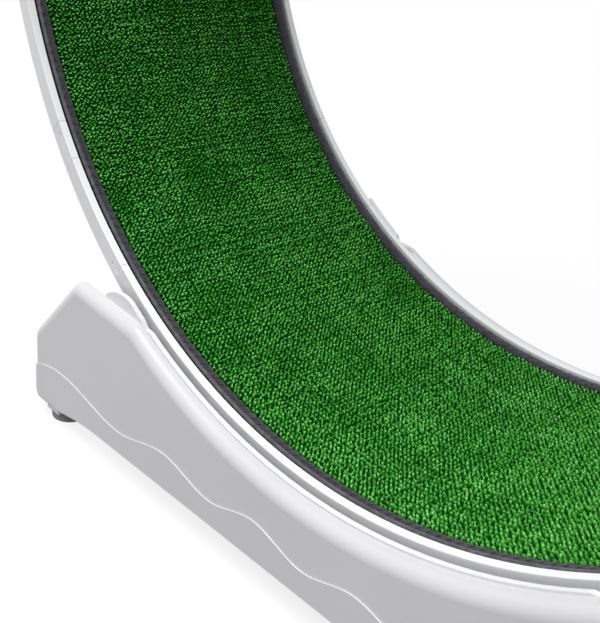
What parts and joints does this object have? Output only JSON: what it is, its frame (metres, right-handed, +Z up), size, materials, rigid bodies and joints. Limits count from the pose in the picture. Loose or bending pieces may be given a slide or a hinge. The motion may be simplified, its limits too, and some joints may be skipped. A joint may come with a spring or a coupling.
{
  "type": "cat exercise wheel",
  "caption": "Large open running wheel for a cat, lined with a ribbed carpet mat, turning on rollers held between the two shells of a low stand.",
  "frame": {"origin": "on the floor under the middle of the wheel: the bottom centre of the overall box", "axes": "+Z up, +X along the stand, +Y from the front casing to the rear casing, along the wheel's axis"},
  "size_m": [0.937, 0.359, 1.0125],
  "materials": {
    "rim_plastic": "satin white moulded plastic",
    "panel_plastic": "fine-textured white plastic",
    "stand_plastic": "satin white moulded plastic",
    "beam_plastic": "textured pale grey plastic",
    "bracket_plastic": "textured pale grey plastic",
    "joiner_plastic": "dark grey plastic",
    "spacer_plastic": "natural nylon",
    "hub_plastic": "natural nylon",
    "mat_pile": "green loop pile",
    "binding": "dark grey woven binding tape",
    "fastening_strip": "hook-and-loop strip",
    "foot_rubber": "matt grey rubber",
    "roller_tyre": "soft grey tread",
    "steel": "zinc-plated steel"
  },
  "bodies": {
    "stand": {"front_stand_panel": "stand_plastic", "rear_stand_panel": "stand_plastic", "front_stand_liner": "stand_plastic", "rear_stand_liner": "stand_plastic", "left_cross_beam": "beam_plastic", "right_cross_beam": "beam_plastic", "front_left_roller_bracket": "bracket_plastic", "front_right_roller_bracket": "bracket_plastic", "rear_left_roller_bracket": "bracket_plastic", "rear_right_roller_bracket": "bracket_plastic", "front_left_foot": "foot_rubber", "front_right_foot": "foot_rubber", "rear_left_foot": "foot_rubber", "rear_right_foot": "foot_rubber", "axle_pins": "steel", "axle_spacers": "spacer_plastic", "axle_clips": "steel", "foot_screws": "steel", "casing_screws": "steel", "beam_bolts": "steel", "bracket_screws": "steel"},
    "wheel": {"front_rim_closing_piece": "rim_plastic", "front_rim_segment_1": "rim_plastic", "front_rim_segment_2": "rim_plastic", "front_rim_segment_3": "rim_plastic", "front_rim_segment_4": "rim_plastic", "front_rim_segment_5": "rim_plastic", "front_rim_segment_6": "rim_plastic", "rear_rim_closing_piece": "rim_plastic", "rear_rim_segment_1": "rim_plastic", "rear_rim_segment_2": "rim_plastic", "rear_rim_segment_3": "rim_plastic", "rear_rim_segment_4": "rim_plastic", "rear_rim_segment_5": "rim_plastic", "rear_rim_segment_6": "rim_plastic", "track_panel_1": "panel_plastic", "track_panel_2": "panel_plastic", "track_panel_3": "panel_plastic", "track_panel_4": "panel_plastic", "track_panel_5": "panel_plastic", "track_panel_6": "panel_plastic", "carpet_mat": "mat_pile", "front_binding_tape": "binding", "rear_binding_tape": "binding", "mat_fastening_strips": "fastening_strip", "rim_joiners": "joiner_plastic", "rim_joiner_screws": "steel", "panel_joint_bolts": "steel"},
    "front_left_roller": {"front_left_roller_hub": "hub_plastic", "front_left_roller_tyre": "roller_tyre", "front_left_roller_bearings": "steel"},
    "front_right_roller": {"front_right_roller_hub": "hub_plastic", "front_right_roller_tyre": "roller_tyre", "front_right_roller_bearings": "steel"},
    "rear_left_roller": {"rear_left_roller_hub": "hub_plastic", "rear_left_roller_tyre": "roller_tyre", "rear_left_roller_bearings": "steel"},
    "rear_right_roller": {"rear_right_roller_hub": "hub_plastic", "rear_right_roller_tyre": "roller_tyre", "rear_right_roller_bearings": "steel"}
  },
  "joints": [
    {"name": "wheel_spin", "type": "hinge", "parent": "stand", "child": "wheel", "pos_m": [0, 0, 0.544], "axis": [0, 1, 0], "continuous": true},
    {"name": "front_left_roller_spin", "type": "hinge", "parent": "stand", "child": "front_left_roller", "pos_m": [-0.27434, -0.126, 0.1522], "axis": [0, 1, 0], "continuous": true},
    {"name": "front_right_roller_spin", "type": "hinge", "parent": "stand", "child": "front_right_roller", "pos_m": [0.27434, -0.126, 0.1522], "axis": [0, 1, 0], "continuous": true},
    {"name": "rear_left_roller_spin", "type": "hinge", "parent": "stand", "child": "rear_left_roller", "pos_m": [-0.27434, 0.126, 0.1522], "axis": [0, 1, 0], "continuous": true},
    {"name": "rear_right_roller_spin", "type": "hinge", "parent": "stand", "child": "rear_right_roller", "pos_m": [0.27434, 0.126, 0.1522], "axis": [0, 1, 0], "continuous": true}
  ],
  "couplings": [
    {"joint": "front_left_roller_spin", "follows": "wheel_spin", "ratio": -22.9},
    {"joint": "front_right_roller_spin", "follows": "wheel_spin", "ratio": -22.9},
    {"joint": "rear_left_roller_spin", "follows": "wheel_spin", "ratio": -22.9},
    {"joint": "rear_right_roller_spin", "follows": "wheel_spin", "ratio": -22.9}
  ]
}
